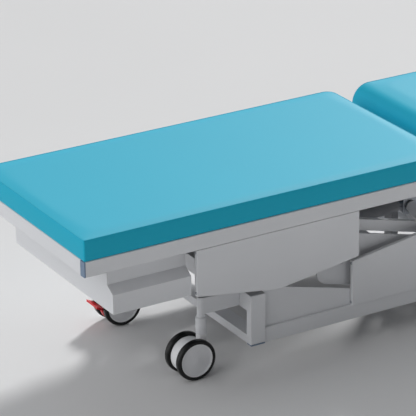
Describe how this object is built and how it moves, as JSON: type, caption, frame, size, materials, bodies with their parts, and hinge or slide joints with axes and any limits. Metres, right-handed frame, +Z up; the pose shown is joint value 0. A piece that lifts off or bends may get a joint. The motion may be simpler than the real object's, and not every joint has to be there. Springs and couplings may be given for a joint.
{
  "type": "examination table",
  "caption": "Examination table with a flat foot mattress, hinged head section, parallelogram electric lift, foot drawer and braked swivel casters.",
  "frame": {"origin": "on the floor under the middle of the table top, table lowered", "axes": "+X from the foot end to the head end, +Y to the far long side, +Z up"},
  "size_m": [1.88, 0.64, 0.552],
  "materials": {
    "powder_coat": "satin powder coat",
    "vinyl": "satin coated fabric",
    "plug_plastic": "matte",
    "tyre": "matte",
    "caster_plastic": "semi-gloss",
    "red_plastic": "semi-gloss",
    "grey_plastic": "matte",
    "steel": "plain",
    "plywood": "film-faced board"
  },
  "bodies": {
    "base": {"base_rail_near": "powder_coat", "base_gusset_near": "powder_coat", "side_panel_lower_near": "powder_coat", "base_rail_far": "powder_coat", "base_gusset_far": "powder_coat", "side_panel_lower_far": "powder_coat", "base_end_foot": "powder_coat", "base_end_head": "powder_coat", "post_cap_foot_near": "plug_plastic", "outrigger_foot_near": "powder_coat", "post_cap_foot_far": "plug_plastic", "outrigger_foot_far": "powder_coat", "post_cap_head_near": "plug_plastic", "outrigger_head_near": "powder_coat", "post_cap_head_far": "plug_plastic", "outrigger_head_far": "powder_coat", "base_cross_pivot": "powder_coat", "actuator_body": "grey_plastic"},
    "lift_arms": {"lift_arm_near": "powder_coat", "lift_arm_far": "powder_coat", "lift_torsion_tube": "powder_coat"},
    "guide_arms": {"guide_arm_near": "powder_coat", "guide_arm_far": "powder_coat"},
    "actuator_rod": {"actuator_rod": "steel"},
    "top": {"top_rail_near": "powder_coat", "side_panel_upper_near": "powder_coat", "ratchet_hinge_near": "steel", "top_rail_far": "powder_coat", "side_panel_upper_far": "powder_coat", "ratchet_hinge_far": "steel", "rail_cap_foot_near": "plug_plastic", "rail_cap_foot_far": "plug_plastic", "rail_cap_head_near": "plug_plastic", "rail_cap_head_far": "plug_plastic", "top_cross_foot": "powder_coat", "top_cross_head": "powder_coat", "top_cross_drawer": "powder_coat", "top_cross_lift": "powder_coat", "foot_deck": "plywood", "foot_mattress": "vinyl", "drawer_housing": "powder_coat"},
    "drawer": {"drawer_front": "powder_coat", "drawer_floor": "powder_coat", "drawer_side_near": "powder_coat", "drawer_side_far": "powder_coat", "drawer_back": "powder_coat"},
    "backrest": {"backrest_rail_near": "powder_coat", "backrest_rail_far": "powder_coat", "backrest_deck": "plywood", "head_mattress": "vinyl"},
    "caster_foot_near": {"caster_body_foot_near": "caster_plastic"},
    "wheels_foot_near": {"caster_wheels_foot_near": "tyre"},
    "caster_foot_far": {"caster_body_foot_far": "caster_plastic"},
    "wheels_foot_far": {"caster_wheels_foot_far": "tyre"},
    "pedal_foot_far": {"brake_pedal_foot_far": "red_plastic"},
    "caster_head_near": {"caster_body_head_near": "caster_plastic"},
    "wheels_head_near": {"caster_wheels_head_near": "tyre"},
    "pedal_head_near": {"brake_pedal_head_near": "red_plastic"},
    "caster_head_far": {"caster_body_head_far": "caster_plastic"},
    "wheels_head_far": {"caster_wheels_head_far": "tyre"}
  },
  "joints": [
    {"name": "lift_raise", "type": "hinge", "parent": "base", "child": "lift_arms", "pos_m": [0.395, 0, 0.151], "axis": [0, 1, 0], "range_deg": [0, 45.5]},
    {"name": "top_level", "type": "hinge", "parent": "lift_arms", "child": "top", "pos_m": [-0.06197, 0, 0.26918], "axis": [0, 1, 0], "range_deg": [-45.5, 0]},
    {"name": "guide_swing", "type": "hinge", "parent": "base", "child": "guide_arms", "pos_m": [0.395, 0, 0.254], "axis": [0, 1, 0], "range_deg": [0, 45.5]},
    {"name": "actuator_extend", "type": "slide", "parent": "base", "child": "actuator_rod", "axis": [1, 0, 0], "range_m": [0, 0.094]},
    {"name": "backrest_tilt", "type": "hinge", "parent": "top", "child": "backrest", "pos_m": [0.322, 0, 0.4589], "axis": [0, -1, 0], "range_deg": [0, 60]},
    {"name": "drawer_slide", "type": "slide", "parent": "top", "child": "drawer", "axis": [-1, 0, 0], "range_m": [0, 0.2]},
    {"name": "swivel_foot_near", "type": "hinge", "parent": "base", "child": "caster_foot_near", "pos_m": [-0.516, -0.22, 0.126], "axis": [0, 0, 1], "continuous": true},
    {"name": "roll_foot_near", "type": "hinge", "parent": "caster_foot_near", "child": "wheels_foot_near", "pos_m": [-0.554, -0.22, 0.0625], "axis": [0, 1, 0], "continuous": true},
    {"name": "swivel_foot_far", "type": "hinge", "parent": "base", "child": "caster_foot_far", "pos_m": [-0.516, 0.22, 0.126], "axis": [0, 0, 1], "continuous": true},
    {"name": "roll_foot_far", "type": "hinge", "parent": "caster_foot_far", "child": "wheels_foot_far", "pos_m": [-0.554, 0.22, 0.0625], "axis": [0, 1, 0], "continuous": true},
    {"name": "brake_foot_far", "type": "hinge", "parent": "caster_foot_far", "child": "pedal_foot_far", "pos_m": [-0.554, 0.22, 0.0625], "axis": [0, -1, 0], "range_deg": [0, 12]},
    {"name": "swivel_head_near", "type": "hinge", "parent": "base", "child": "caster_head_near", "pos_m": [0.756, -0.22, 0.126], "axis": [0, 0, 1], "continuous": true},
    {"name": "roll_head_near", "type": "hinge", "parent": "caster_head_near", "child": "wheels_head_near", "pos_m": [0.718, -0.22, 0.0625], "axis": [0, 1, 0], "continuous": true},
    {"name": "brake_head_near", "type": "hinge", "parent": "caster_head_near", "child": "pedal_head_near", "pos_m": [0.718, -0.22, 0.0625], "axis": [0, -1, 0], "range_deg": [0, 12]},
    {"name": "swivel_head_far", "type": "hinge", "parent": "base", "child": "caster_head_far", "pos_m": [0.756, 0.22, 0.126], "axis": [0, 0, 1], "continuous": true},
    {"name": "roll_head_far", "type": "hinge", "parent": "caster_head_far", "child": "wheels_head_far", "pos_m": [0.718, 0.22, 0.0625], "axis": [0, 1, 0], "continuous": true}
  ],
  "couplings": [
    {"joint": "top_level", "follows": "lift_raise", "ratio": -1},
    {"joint": "guide_swing", "follows": "lift_raise", "ratio": 1},
    {"joint": "actuator_extend", "follows": "lift_raise", "m_per_rad": 0.11687}
  ]
}
